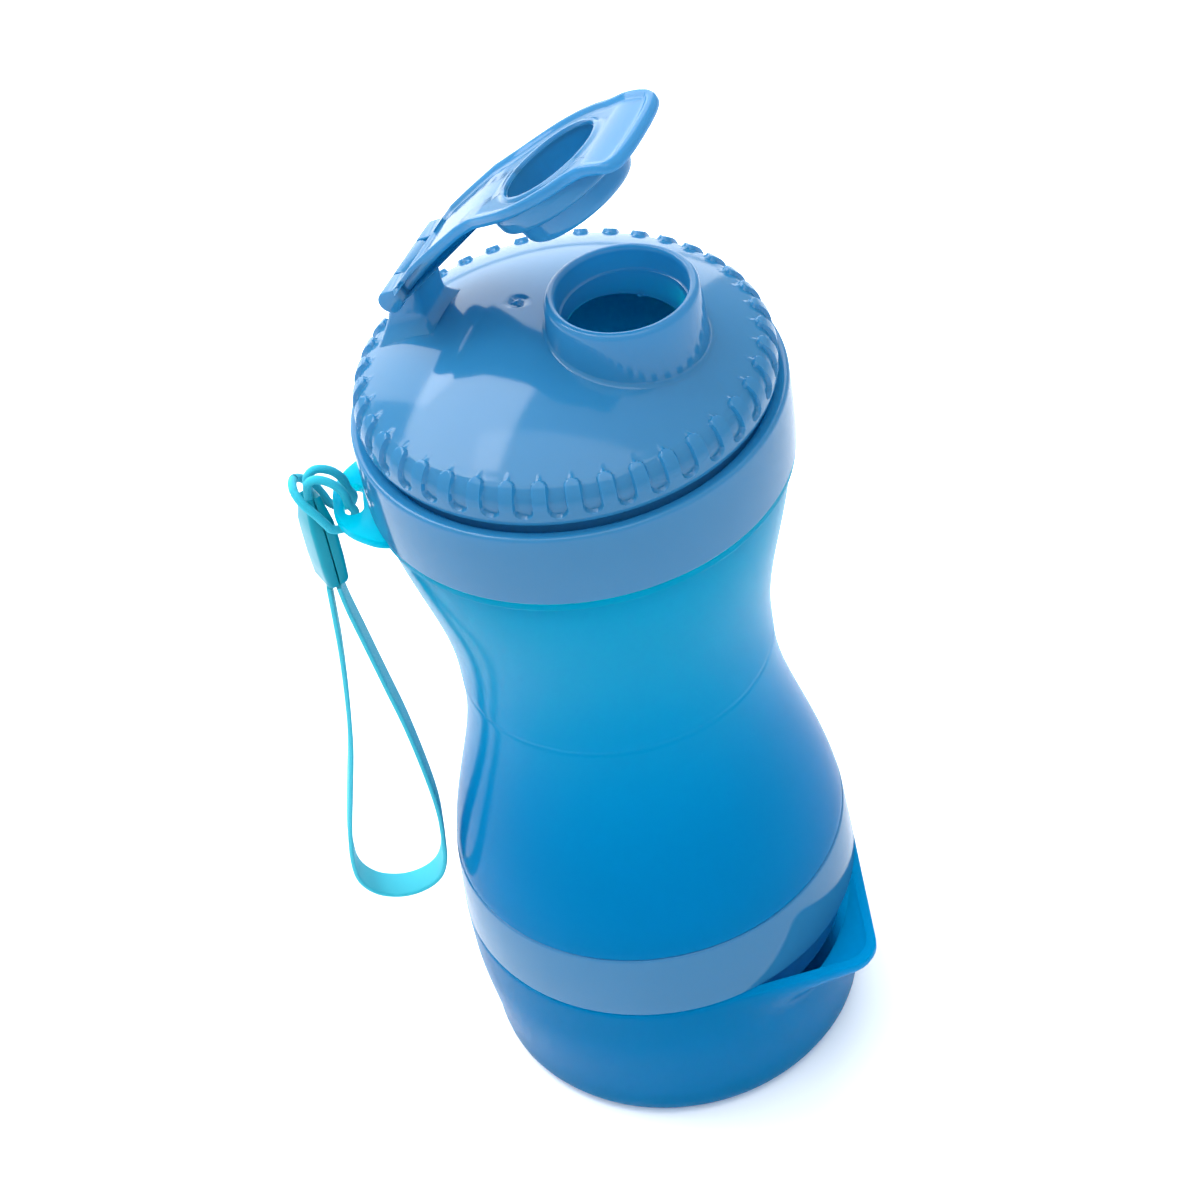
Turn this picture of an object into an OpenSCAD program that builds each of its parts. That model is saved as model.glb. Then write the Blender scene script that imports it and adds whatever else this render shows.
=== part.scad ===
// Two-in-one travel bottle: an hourglass drinking vessel with a screwed lid and a flip cap,
// standing on a screw-on bowl, with a wrist strap on a lug under the collar.
// Millimetres, +Z up, origin at the centre of the base, +X from the cap hinge to the spout.

/* [Bowl] */
// Height of the bowl's rim above the floor
bowl_h = 35.5; // [32:0.5:38]
// Outer radius of the bowl at its rim
bowl_r = 40.1; // [39:0.1:41]
// Direction of the pouring lip, degrees from +X
lip_angle = -14.5; // [-180:0.5:180]
// How far the pouring lip reaches from the axis
lip_reach = 51; // [48:0.5:54]

/* [Vessel] */
// Height of the shoulder flange, where the collar sits
collar_z = 145; // [140:0.5:150]
// Outer radius of the waist
waist_r = 29.7; // [27:0.1:32]
// Height of the waist
waist_z = 99; // [94:0.5:104]
// Wall thickness of the vessel and the bowl
wall = 2; // [1.6:0.1:2.4]
// Direction of the strap lug, degrees from +X
lug_angle = 208.5; // [150:0.5:260]

/* [Lid] */
// Outer radius of the collar ring
collar_r = 38.2; // [37.5:0.1:39]
// Outer radius of the lid's edge
lid_r = 35.8; // [35.4:0.1:36.2]
// Radius of the lid's dome
dome_radius = 64.6; // [60:0.1:75]
// Height of the dome above the shoulder flange
dome_h = 32.3; // [31:0.1:34]
// Number of grip ribs
rib_count = 40; // [24:1:48]

/* [Spout and cap] */
// Distance from the bottle's axis to the spout's axis
spout_x = 13.3; // [12:0.1:14.5]
// Height of the spout's rim above the shoulder flange
spout_h = 38.3; // [37:0.1:40]
// Radius of the spout's bore at its mouth
spout_bore_r = 11.1; // [10.8:0.1:11.4]
// How far the cap stands open, degrees
cap_open = 32; // [0:1:105]

/* [Strap] */
// Diameter of the braided cord
cord_d = 1.6; // [1.4:0.1:1.8]
// Width of the woven ribbon
ribbon_w = 6; // [5:0.5:7]

/* [Hidden] */
$fn = 96;
eps = 0.01;

lid_blue = [0.49, 0.71, 0.84];
deep_blue = [0.0, 0.55, 0.88, 0.75];
seal_white = [0.9, 0.93, 0.95];
strap_blue = [0.0, 0.72, 0.8];

// Screw joints: a ridge on each side, one pitch of lift for each turn
ridge_h = 0.8;
ridge_root = 1.5;
ridge_tip = 0.7;
ridge_seat = 0.4;
steps_per_turn = 36;
base_pitch = 4;
lid_pitch = 5;
flank_gap = 1.35;
bowl_thread_z = 29;
vessel_thread_z = 43.2;
neck_thread_z = collar_z + 9;
seal_gap = 0.3;

// Bowl
bowl_floor = 2.2;
bowl_foot_r = 38.4;
bowl_corner = 4;
bowl_in_r = bowl_r - wall;
lip_nose_r = 6;
lip_low_z = 23;

// Divider band, between the bowl and the vessel
band_z = bowl_h + 0.3;
band_top_z = 51;
band_top_r = 39;
disc_z = 37;
disc_t = 1.8;
band_plug_r = bowl_in_r - 1.2;
band_plug_z = 25.5;
socket_r = 37.6;

// Vessel
vessel_z = band_top_z + 0.2;
spigot_r = socket_r - 1.2;
spigot_in_r = spigot_r - wall;
spigot_z = 39.6;
upper_swell = 7.9;
lower_swell = 9.8;
neck_r = 31.4;
neck_in_r = neck_r - wall;
neck_top_z = collar_z + 20.8;
flange_t = 1.8;
flange_r = 37.8;

// Lug
lug_reach = 44.4;
lug_t = 2.2;
lug_top_z = collar_z - 0.3;
slot_x = 40.7;
slot_w = 3.4;
slot_len = 8;

// Collar
collar_h = 14.8;
collar_in_r = 34.9;

// Lid
lid_z = collar_z + 16.7;
skirt_z = collar_z + 6;
skirt_out_r = 34.5;
skirt_in_r = neck_r + ridge_h + 0.5;
dome_z = collar_z + dome_h;
dome_t = 1.9;
lid_corner = 4.6;
rib_proud = 0.55;
rib_w = 2.6;
rib_phase = 2.2;
spout_z = collar_z + spout_h;
spout_r = 12.95;
spout_root_r = 13.4;
seat_depth = 4.3;
seat_step = 0.4;

// Hinge of the cap
hinge_x = -24.5;
hinge_z = collar_z + 37.6;
knuckle_r = 2.1;
knuckle_half = 4.6;
hinge_half = 10.4;
pin_r = 0.9;
pin_fit = 0.05;
pin_half = 8.8;
block_out_x = -30.6;

// Cap, drawn closed with the hinge axis as its origin
plug_x = spout_x - hinge_x;
rim_up = spout_z - hinge_z;
cap_step_z = rim_up + 0.3;
deck_z = 4.4;
deck_t = 2;
deck_r = 13.2;
plug_r = spout_bore_r - 0.4;
plug_low = -3.0;
plug_hole_r = 8.8;
plug_floor = 1.4;
arm_w = 9.6;
tab_x = 54.4;
tab_droop = 2.5;

// Strap, in the lug's own direction: x outwards, z up
crimp_x = 48;
crimp_low_z = 127.4;
crimp_top_z = 147.4;
crimp_w = 6.4;
crimp_turn = 25;
crimp_split = 0.15;
cord_squeeze = 0.1;
cord_sides = 8;
strand_y = 0.9;
strand_low_z = 143;
// Route of the cord's hitch from the middle of its crossing bight, round the lug's bar, to one end
// in the crimp; the bar's centre is at [43.4, 143.6] and the loop keeps 2.7 from it
hitch = [[50.3, 0, 150.4], [50, 2, 150], [48.9, 3.6, 148.4], [47.2, 4.2, 146], [46.1, 4, 143.6],
    [45.3, 3.6, 141.7], [43.4, 3, 140.9], [41.5, 2.5, 141.7], [40.7, 2.2, 143.6],
    [41.4, 2.1, 145.4], [41.8, 2, 148], [43.4, 1.8, 150.4], [45.8, 1.4, 151.6],
    [47.5, 1, 150.6], [48, strand_y, 148], [48, strand_y, 145.5], [48, strand_y, strand_low_z]];
// Route of the ribbon loop, from the crimp down the outer side and back up the inner side
ribbon = [[48.9, 127], [49.4, 120], [50.2, 110], [51.6, 98], [53.4, 86], [56, 74], [58.4, 63],
    [59.6, 55], [59.4, 48.6], [56.6, 44], [52, 42], [47.4, 42.6], [43.8, 45.2], [41.8, 50],
    [41, 57], [40.6, 64], [41, 74], [42.2, 88], [43.8, 100], [45.4, 112], [46.6, 121],
    [47.1, 127]];
ribbon_t = 1;

// Angles from a0 to a1 in n steps on a circle about [cx, cy]
function arc(cx, cy, r, a0, a1, n) =
    [for (i = [0:n]) let (a = a0 + (a1 - a0) * i / n) [cx + r * cos(a), cy + r * sin(a)]];

// Smooth curve through the points p, n short steps for each span
function spline(p, n) = [for (i = [0:len(p) - 2], k = [0:n - 1])
        let (a = p[max(i - 1, 0)], b = p[i], c = p[i + 1], d = p[min(i + 2, len(p) - 1)], t = k / n)
        b + (c - a) * t / 2 + (2 * a - 5 * b + 4 * c - d) * t * t / 2
            + (3 * b - a - 3 * c + d) * t * t * t / 2,
    p[len(p) - 1]];

// Outer radius of the hourglass: half a cosine wave up and down from a flat waist
function half_wave(d, flat, span) = (1 - cos(180 * min(max((d - flat) / span, 0), 1))) / 2;
function vessel_r(z) = z > waist_z
    ? waist_r + upper_swell * half_wave(z - waist_z, 3, 50)
    : waist_r + lower_swell * half_wave(waist_z - z, 2.5, 54);

// Height of the dome's outer face at radius r
function dome_at(r) = dome_z - dome_radius + sqrt(dome_radius * dome_radius - r * r);

// Helical ridge on a wall of radius r: side 1 stands outwards, side -1 inwards
module ridge(r, side, z0, pitch, turns) {
    n = round(steps_per_turn * turns);
    pts = [for (i = [0:n])
        let (a = 360 * i / steps_per_turn, z = z0 + pitch * i / steps_per_turn,
            lift = min(1, min(i, n - i) / 3) * ridge_h + 0.05,
            seat = r - side * ridge_seat, crest = r + side * lift)
        each [[seat * cos(a), seat * sin(a), z - ridge_root / 2],
            [crest * cos(a), crest * sin(a), z - ridge_tip / 2],
            [crest * cos(a), crest * sin(a), z + ridge_tip / 2],
            [seat * cos(a), seat * sin(a), z + ridge_root / 2]]];
    walls = [for (i = [0:n - 1], k = [0:3])
        let (a = 4 * i + k, b = 4 * i + (k + 1) % 4) [a, a + 4, b + 4, b]];
    ends = [[0, 1, 2, 3], [4 * n + 3, 4 * n + 2, 4 * n + 1, 4 * n]];
    faces = concat(walls, ends);
    polyhedron(pts, side < 0 ? faces : [for (f = faces) [for (k = [len(f) - 1:-1:0]) f[k]]]);
}

// Plain ring between two radii
module ring(r_in, r_out, z0, z1) {
    rotate_extrude() translate([r_in, z0]) square([r_out - r_in, z1 - z0]);
}

// ---- Bowl ----

// Teardrop body of the pouring lip; shrink moves every face inwards
module lip_body(shrink, top) {
    hull() {
        translate([0, 0, bowl_h - 2]) cylinder(r = bowl_r - shrink, h = top + 2);
        translate([lip_reach - lip_nose_r, 0, bowl_h - 2])
            cylinder(r = lip_nose_r - shrink, h = top + 2, $fn = 32);
        translate([0, 0, lip_low_z + shrink]) cylinder(r = bowl_r - 0.6 - shrink, h = 1);
    }
}

module lip_sector() {
    linear_extrude(height = bowl_h + 5) polygon([[20, -22], [70, -62], [70, 62], [20, 22]]);
}

module bowl_profile() {
    polygon(concat(
        [[0, 0], [bowl_foot_r - bowl_corner, 0]],
        arc(bowl_foot_r - bowl_corner, bowl_corner, bowl_corner, -80, 0, 8),
        [[bowl_foot_r + 0.6, 14], [bowl_r - 0.2, 24], [bowl_r, bowl_h], [bowl_in_r, bowl_h]],
        [[bowl_in_r, 24], [bowl_foot_r - wall + 0.4, 12]],
        arc(bowl_foot_r - wall - bowl_corner, bowl_floor + bowl_corner, bowl_corner, 0, -90, 8),
        [[0, bowl_floor]]));
}

module bowl() {
    color(deep_blue) {
        difference() {
            union() {
                rotate_extrude() bowl_profile();
                rotate([0, 0, lip_angle]) intersection() {
                    difference() {
                        lip_body(0, 0);
                        translate([0, 0, -1]) cylinder(r = bowl_in_r + 0.5, h = bowl_h + 2);
                    }
                    lip_sector();
                }
            }
            rotate([0, 0, lip_angle]) intersection() {
                lip_body(wall, 2);
                lip_sector();
            }
        }
        // Thread inside the wall, away from the pouring lip
        rotate([0, 0, lip_angle + 50]) ridge(bowl_in_r, -1, bowl_thread_z, base_pitch, 0.72);
    }
}

module bowl_gasket() {
    color(seal_white) ring(band_plug_r - 0.9, bowl_in_r - seal_gap, bowl_h - 1.9, bowl_h - 0.2);
}

// ---- Divider band ----

module divider_band() {
    color(lid_blue) {
        difference() {
            rotate_extrude() polygon(concat(
                [[0, disc_z], [band_plug_r - wall, disc_z - 0.6], [band_plug_r - wall, band_plug_z],
                [band_plug_r, band_plug_z], [band_plug_r, band_z], [bowl_r - 0.3, band_z],
                [bowl_r, band_z + 0.3]],
                arc(band_top_r - 0.4, band_top_z - 0.4, 0.4, 0, 90, 4),
                [[socket_r, band_top_z], [socket_r, disc_z + disc_t], [0, disc_z + disc_t]]));
            // Groove for the bowl's gasket
            ring(band_plug_r - 1.2, band_plug_r + 1, bowl_h - 2.2, bowl_h + 0.1);
        }
        // Most of a turn on the plug, and in the socket
        rotate([0, 0, lip_angle + 50])
            ridge(band_plug_r, 1, bowl_thread_z - flank_gap, base_pitch, 0.7);
        ridge(socket_r, -1, vessel_thread_z, base_pitch, 0.9);
    }
}

module vessel_gasket() {
    color(seal_white) ring(spigot_r - 0.9, socket_r - seal_gap, vessel_z - 2, vessel_z - 0.5);
}

// ---- Vessel ----

module lug_plan() {
    polygon([[30, -13], [37.5, -12.4], [42, -8.6], [lug_reach - 0.9, -5.4], [lug_reach, -3.4],
        [lug_reach, 3.4], [lug_reach - 0.9, 5.4], [42, 8.6], [37.5, 12.4], [30, 13]]);
}

module lug_slot() {
    for (s = [-1, 1]) translate([slot_x, s * (slot_len - slot_w) / 2, lug_top_z - lug_t - 1])
        cylinder(d = slot_w, h = lug_t + 2, $fn = 48);
    translate([slot_x - slot_w / 2, (slot_w - slot_len) / 2, lug_top_z - lug_t - 1])
        cube([slot_w, slot_len - slot_w, lug_t + 2]);
}

module vessel_outline() {
    n = 30;
    flange_z = collar_z - flange_t;
    outer = [for (i = [0:n]) let (z = vessel_z + (flange_z - vessel_z) * i / n) [vessel_r(z), z]];
    inner = [for (i = [n - 1:-1:2]) let (z = vessel_z + (flange_z - vessel_z) * i / n)
        [min(vessel_r(z) - wall, spigot_in_r + 0.6), z]];
    polygon(concat(
        [[spigot_in_r, spigot_z], [spigot_r - 0.4, spigot_z], [spigot_r, spigot_z + 0.4]],
        [[spigot_r, vessel_z]], outer,
        [[flange_r, flange_z], [flange_r, collar_z - 0.1], [neck_r, collar_z - 0.1]],
        [[neck_r, neck_top_z - 0.5], [neck_r - 0.5, neck_top_z], [neck_in_r, neck_top_z]],
        [[neck_in_r, collar_z + 1], [neck_in_r + 1.5, collar_z - 3]], inner,
        [[spigot_in_r, vessel_z + 2]]));
}

module vessel() {
    color(deep_blue) {
        difference() {
            union() {
                rotate_extrude() vessel_outline();
                rotate([0, 0, lug_angle]) translate([0, 0, lug_top_z - lug_t])
                    linear_extrude(height = lug_t) intersection() {
                        lug_plan();
                        difference() {
                            circle(r = 60);
                            circle(r = 34.5);
                        }
                    }
            }
            rotate([0, 0, lug_angle]) lug_slot();
            // Groove for the gasket above the thread
            ring(spigot_r - 1.2, spigot_r + 1, vessel_z - 2.3, vessel_z - 0.2);
        }
        // Moulding line where the two cores met at the waist
        ring(waist_r - 0.5, waist_r + 0.12, waist_z - 0.25, waist_z + 0.25);
        ridge(spigot_r, 1, vessel_thread_z - flank_gap, base_pitch, 0.75);
        ridge(neck_r, 1, neck_thread_z, lid_pitch, 1.7);
    }
}

module collar_ring() {
    color(lid_blue) rotate_extrude() polygon(concat(
        [[neck_r + 0.1, collar_z], [collar_r - 0.4, collar_z], [collar_r, collar_z + 0.5]],
        arc(collar_r - 0.9, collar_z + collar_h - 0.9, 0.9, 0, 90, 6),
        [[collar_in_r + 1.2, collar_z + collar_h - 0.4], [collar_in_r, collar_z + collar_h - 1.4]],
        [[collar_in_r, collar_z + 4], [neck_r + 0.1, collar_z + 4]]));
}

// ---- Lid ----

module lid_gasket() {
    color(seal_white) ring(neck_in_r + 0.2, neck_r + 0.8, neck_top_z + seal_gap, neck_top_z + 1.3);
}

// Outline of the lid's outer face from its edge to the axis, moved outwards by grow
function lid_face(grow) = let (
        corner_r = lid_r - lid_corner,
        touch = 27,
        touch_r = corner_r + lid_corner * sin(touch),
        corner_z = dome_at(touch_r) - lid_corner * cos(touch))
    concat(
        arc(corner_r, corner_z, lid_corner + grow, 0, 90 - touch, 6),
        [for (i = [10:-1:0]) let (r = touch_r * i / 10.5) [r, dome_at(r) + grow]]);

module lid_shell() {
    seat_z = neck_top_z + 1.6;
    rotate_extrude() polygon(concat(
        [[skirt_in_r, skirt_z], [skirt_out_r, skirt_z], [skirt_out_r, lid_z], [lid_r, lid_z]],
        lid_face(0),
        [for (i = [0:8]) let (r = 29 * i / 8) [r, dome_at(r) - dome_t]],
        [[29, seat_z], [skirt_in_r, seat_z]]));
}

// Ring of raised bars over the lid's shoulder, round at their upper ends
module grip_ribs() {
    face = lid_face(rib_proud);
    core = lid_face(-0.6);
    end_r = lid_r - 3.3 + rib_w / 2;
    intersection() {
        rotate_extrude() polygon(concat([[lid_r - 1, lid_z + 0.4], [lid_r + rib_proud, lid_z + 0.4]],
            [for (i = [0:7]) face[i]], [for (i = [7:-1:0]) core[i]]));
        for (i = [0:rib_count - 1]) rotate([0, 0, i * 360 / rib_count - rib_phase])
            translate([0, 0, lid_z]) linear_extrude(height = 20) union() {
                translate([end_r, -rib_w / 2]) square([8, rib_w]);
                translate([end_r, 0]) circle(d = rib_w, $fn = 24);
            }
    }
    ring(lid_r - 1, lid_r + rib_proud, lid_z, lid_z + 1.2);
}

module hinge_block() {
    top_x = hinge_x + knuckle_r;
    rotate([90, 0, 0]) translate([0, 0, -knuckle_half]) linear_extrude(height = 2 * knuckle_half)
        union() {
            polygon([[block_out_x, dome_at(30.6) - 0.8], [top_x + 0.5, dome_at(22.4) - 0.8],
                [top_x + 0.5, hinge_z - 3], [top_x, hinge_z], [hinge_x - knuckle_r, hinge_z],
                [hinge_x - knuckle_r - 0.8, hinge_z - 3.2]]);
            translate([hinge_x, hinge_z]) circle(r = knuckle_r, $fn = 48);
        }
}

module spout_outside() {
    rise = spout_z - dome_at(27) + 2;
    translate([spout_x, 0, 0]) rotate_extrude() polygon(concat(
        [[0, spout_z - rise], [spout_root_r, spout_z - rise]],
        [[spout_root_r, dome_at(spout_x + spout_root_r) + 1]],
        arc(spout_r - 0.8, spout_z - 0.8, 0.8, 0, 90, 5), [[0, spout_z]]));
}

module spout_bore() {
    translate([spout_x, 0, spout_z - seat_depth]) cylinder(r = spout_bore_r, h = seat_depth + 1);
    translate([spout_x, 0, spout_z - 20])
        cylinder(r = spout_bore_r - seat_step, h = 20 - seat_depth + eps);
}

// Space under the dome, kept clear of the spout's root
module dome_room() {
    rotate_extrude() polygon(concat(
        [[0, neck_top_z], [29, neck_top_z]], [[29, dome_at(29) - dome_t]],
        [for (i = [8:-1:0]) let (r = 29 * i / 8) [r, dome_at(r) - dome_t]]));
}

module lid() {
    color(lid_blue) {
        difference() {
            union() {
                lid_shell();
                grip_ribs();
                difference() {
                    spout_outside();
                    dome_room();
                }
                hinge_block();
            }
            spout_bore();
            // Moulding gate: a shallow dimple beside the spout
            translate([-6.8, 0, dome_at(6.8) - 0.35]) cylinder(r = 1.9, h = 2, $fn = 32);
            translate([hinge_x, knuckle_half + 1, hinge_z]) rotate([90, 0, 0])
                cylinder(r = pin_r + pin_fit, h = 2 * knuckle_half + 2);
        }
        translate([-6.8, 0, dome_at(6.8) - 1]) cylinder(r = 0.6, h = 0.9, $fn = 24);
        ridge(skirt_in_r, -1, neck_thread_z - flank_gap, lid_pitch, 1.5);
    }
}

module hinge_pin() {
    color("silver") translate([hinge_x, pin_half, hinge_z]) rotate([90, 0, 0])
        cylinder(r = pin_r, h = 2 * pin_half);
}

// ---- Cap, closed, hinge axis at the origin ----

// Half width of the deck along its length
deck_stations = [[20, 9.5], [24, 9.7], [29, 11.3], [plug_x - 3, deck_r - 0.3], [plug_x, deck_r],
    [plug_x + 3, deck_r - 0.3], [45, 11.7], [49, 10.9], [52, 10.9], [tab_x, 10.4], [55.4, 9],
    [55.9, 7], [56.1, 4]];
// Height of the deck along its length: the finger tab droops
deck_line = [[19, 0], [49, 0], [51, -0.14 * tab_droop], [53, -0.41 * tab_droop],
    [55, -0.78 * tab_droop], [57, -1.2 * tab_droop]];

module deck() {
    side = spline(deck_stations, 4);
    intersection() {
        translate([0, 0, deck_z - 4]) linear_extrude(height = 4 + deck_t)
            polygon(concat([for (p = side) [p.x, p.y]],
                [for (i = [len(side) - 1:-1:0]) [side[i].x, -side[i].y]]));
        across(deck_r + 1) polygon(concat([for (p = deck_line) [p.x, deck_z + p.y]],
            [for (i = [len(deck_line) - 1:-1:0]) [deck_line[i].x, deck_z + deck_t + deck_line[i].y]]));
    }
}

// Side profile of the arm, from the hinge barrel up to the deck
module arm_profile() {
    low = spline([[2.6, -0.6], [6.2, 0.5], [10.3, 1.8], [15.2, 3.1], [20, 4.1], [24, deck_z]], 4);
    high = spline([[24, deck_z + deck_t], [20, 6], [15, 5], [10, 4.2], [5, 2.9], [1, 1.8]], 4);
    polygon(concat(low, high, [[0, 0]]));
}

module across(w) {
    rotate([90, 0, 0]) translate([0, 0, -w]) linear_extrude(height = 2 * w) children();
}

module cap_closed() {
    difference() {
        union() {
            deck();
            across(arm_w) arm_profile();
            across(hinge_half) circle(r = knuckle_r, $fn = 48);
            // Skirt that lands on the spout's rim, then the plug
            translate([plug_x, 0, 0]) rotate_extrude() polygon(concat(
                [[0, plug_low], [plug_r - 1, plug_low]],
                arc(plug_r - 1, plug_low + 1, 1, -90, 0, 5),
                [[plug_r, cap_step_z], [deck_r - 0.8, cap_step_z], [deck_r - 0.2, cap_step_z + 0.6]],
                [[deck_r - 0.2, deck_z + eps], [0, deck_z + eps]]));
        }
        // Hollow of the plug
        translate([plug_x, 0, plug_low + plug_floor]) cylinder(r = plug_hole_r, h = 20);
        // Shallow dish of the deck inside its raised edge
        translate([plug_x, 0, deck_z + deck_t - 0.5]) cylinder(r = deck_r - 1.4, h = 2);
        // Gap for the lid's knuckle
        translate([-8, -knuckle_half - 0.3, -8]) cube([8 + knuckle_r + 0.5, 2 * knuckle_half + 0.6, 16]);
        // Pin bore, blind at the near end
        translate([0, -pin_half - 0.2, 0]) rotate([-90, 0, 0]) cylinder(r = pin_r + pin_fit, h = 30);
    }
}

module flip_cap() {
    color(lid_blue) translate([hinge_x, 0, hinge_z]) rotate([0, -cap_open, 0]) cap_closed();
}

// ---- Strap ----

// Tube swept along points, with an elliptical section of half sizes a (in the y direction) and b
module swept(path, a, b, sides) {
    n = len(path) - 1;
    function unit(v) = v / norm(v);
    pts = [for (i = [0:n])
        let (t = unit(path[min(i + 1, n)] - path[max(i - 1, 0)]),
            guess = abs(t.y) > 0.9 ? [1, 0, 0] : [0, 1, 0],
            u = unit(guess - t * (t * guess)), v = cross(t, u))
        each [for (k = [0:sides - 1]) path[i] + a * u * cos(360 * k / sides)
            + b * v * sin(360 * k / sides)]];
    walls = [for (i = [0:n - 1], k = [0:sides - 1])
        let (p = sides * i + k, q = sides * i + (k + 1) % sides) each [[p, q, q + sides],
            [p, q + sides, p + sides]]];
    polyhedron(pts, concat([for (f = walls) [f[2], f[1], f[0]]],
        [[for (k = [0:sides - 1]) k]], [[for (k = [sides - 1:-1:0]) sides * n + k]]));
}

module strap_cord() {
    half = spline(hitch, 2);
    back = [for (i = [len(half) - 1:-1:1]) [half[i].x, -half[i].y, half[i].z]];
    color(strap_blue) rotate([0, 0, lug_angle])
        swept(concat(back, half), cord_d / 2, cord_d / 2, cord_sides);
}

module crimp_body() {
    h = crimp_top_z - crimp_low_z;
    rotate([90, 0, 0]) translate([0, 0, -crimp_w / 2]) linear_extrude(height = crimp_w)
        polygon([[-2.1, crimp_low_z], [2.1, crimp_low_z], [2.4, crimp_low_z + 1],
            [2.4, crimp_low_z + h * 0.72], [1.6, crimp_top_z], [-1.6, crimp_top_z],
            [-2.4, crimp_low_z + h * 0.72], [-2.4, crimp_low_z + 1]]);
}

module crimp_face() {
    w = crimp_w / 2;
    polygon([[-w, crimp_low_z], [w, crimp_low_z], [w, crimp_top_z - 6], [w - 1.4, crimp_top_z],
        [1.4 - w, crimp_top_z], [-w, crimp_top_z - 6]]);
}

module crimp_shell(side) {
    color(strap_blue) rotate([0, 0, lug_angle]) translate([crimp_x, 0, 0]) difference() {
        rotate([0, 0, crimp_turn]) intersection() {
            crimp_body();
            rotate([90, 0, 90]) translate([0, 0, -5]) linear_extrude(height = 10) crimp_face();
            translate([side > 0 ? crimp_split : -10, -10, crimp_low_z - 1])
                cube([10 - crimp_split, 20, 40]);
        }
        for (s = [-1, 1]) translate([0, s * strand_y, strand_low_z])
            cylinder(d = cord_d - cord_squeeze, h = 10, $fn = 32);
    }
}

module crimp_shell_outer() {
    crimp_shell(1);
}

module crimp_shell_inner() {
    crimp_shell(-1);
}

module strap_ribbon() {
    ends = [for (x = [ribbon[0].x, ribbon[len(ribbon) - 1].x]) [x, 0, crimp_low_z]];
    path = concat([ends[0]], [for (p = spline(ribbon, 2)) [p.x, 0, p.y]], [ends[1]]);
    color(strap_blue) rotate([0, 0, lug_angle]) swept(path, ribbon_w / 2, ribbon_t / 2, cord_sides);
}

bowl();
bowl_gasket();
divider_band();
vessel_gasket();
vessel();
collar_ring();
lid_gasket();
lid();
hinge_pin();
flip_cap();
strap_cord();
crimp_shell_outer();
crimp_shell_inner();
strap_ribbon();
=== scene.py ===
# Visual model of a two-in-one travel bottle: screwed lid with a flip cap, hourglass vessel,
# divider band, screw-on bowl with a pouring lip, and a wrist strap on a lug.
# Lengths in the builders are millimetres in the CAD frame; make() turns them into metres.
import math

import bmesh
import bpy
from mathutils import Matrix, Vector


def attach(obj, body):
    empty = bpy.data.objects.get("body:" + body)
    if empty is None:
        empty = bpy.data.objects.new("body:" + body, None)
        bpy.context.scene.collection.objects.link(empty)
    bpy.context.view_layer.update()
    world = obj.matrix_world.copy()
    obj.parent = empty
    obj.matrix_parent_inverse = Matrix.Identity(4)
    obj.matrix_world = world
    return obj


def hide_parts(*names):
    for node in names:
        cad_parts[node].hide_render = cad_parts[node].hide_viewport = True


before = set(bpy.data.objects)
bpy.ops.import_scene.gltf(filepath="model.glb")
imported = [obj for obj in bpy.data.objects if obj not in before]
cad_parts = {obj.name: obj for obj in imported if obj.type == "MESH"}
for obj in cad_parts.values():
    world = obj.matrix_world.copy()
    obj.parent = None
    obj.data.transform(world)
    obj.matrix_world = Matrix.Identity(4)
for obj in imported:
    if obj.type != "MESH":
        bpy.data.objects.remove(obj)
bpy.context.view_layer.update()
MM = 0.001
scene = bpy.context.scene

# ---- Driving sizes, as in the CAD (mm, degrees) ----

BOWL_H, BOWL_R, LIP_ANGLE, LIP_REACH, LIP_NOSE = 35.5, 40.1, -14.5, 51.0, 6.0
COLLAR_Z, COLLAR_H, COLLAR_R, COLLAR_IN = 145.0, 14.8, 38.2, 34.9
WAIST_R, WAIST_Z, WALL, LUG_ANGLE = 29.7, 99.0, 2.0, 208.5
BAND_Z, BAND_TOP, BAND_TOP_R, DISC_Z, DISC_T = 35.8, 51.0, 39.0, 37.0, 1.8
PLUG_R, PLUG_Z, SOCKET_R = 36.9, 25.5, 37.6
SPIGOT_R, SPIGOT_Z, VESSEL_Z = 36.4, 39.6, 51.2
NECK_R, NECK_IN, NECK_TOP, FLANGE_R = 31.4, 29.4, 165.8, 37.8
LID_R, LID_Z, SKIRT_Z, SKIRT_R, SKIRT_IN = 35.8, 161.7, 151.0, 34.5, 32.7
DOME_Z, DOME_RADIUS, LID_CORNER, RIBS, RIB_W, RIB_PROUD = 177.3, 64.6, 4.6, 40, 2.6, 0.75
SPOUT_X, SPOUT_Z, SPOUT_R, SPOUT_ROOT, SPOUT_BORE = 13.3, 183.3, 12.95, 13.4, 11.1
HINGE_X, HINGE_Z, KNUCKLE_R, KNUCKLE_HALF, HINGE_HALF = -24.5, 182.6, 2.1, 4.6, 10.4
CAP_OPEN, PLUG_X, DECK_Z, DECK_TOP, CAP_PLUG_R, HOLE_R = 32.0, 37.8, 4.4, 6.4, 10.7, 8.8
SLOT_X, SLOT_W, SLOT_LEN, LUG_TOP, LUG_T = 40.7, 3.4, 8.0, 144.7, 2.2
CRIMP_X, CRIMP_W, CRIMP_LOW, CRIMP_TOP, CRIMP_TURN = 48.0, 6.4, 127.4, 147.4, 25.0
CORD_D, RIBBON_W, RIBBON_T = 1.6, 6.0, 0.9
FOOT_R, BOWL_SWELL, BOWL_FLOOR, LIP_START = 38.4, 1.7, 2.2, 22.5
UPPER_SWELL, LOWER_SWELL, PITCH, LID_PITCH = 7.9, 9.8, 4.0, 5.0
LID_WALL, SPOUT_CUT, SPOUT_FILLET = 1.9, 11.9, 0.8
GATE_X, GATE_Y, GATE_R, GATE_DEPTH = -6.8, 1.0, 2.1, 0.42
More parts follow.
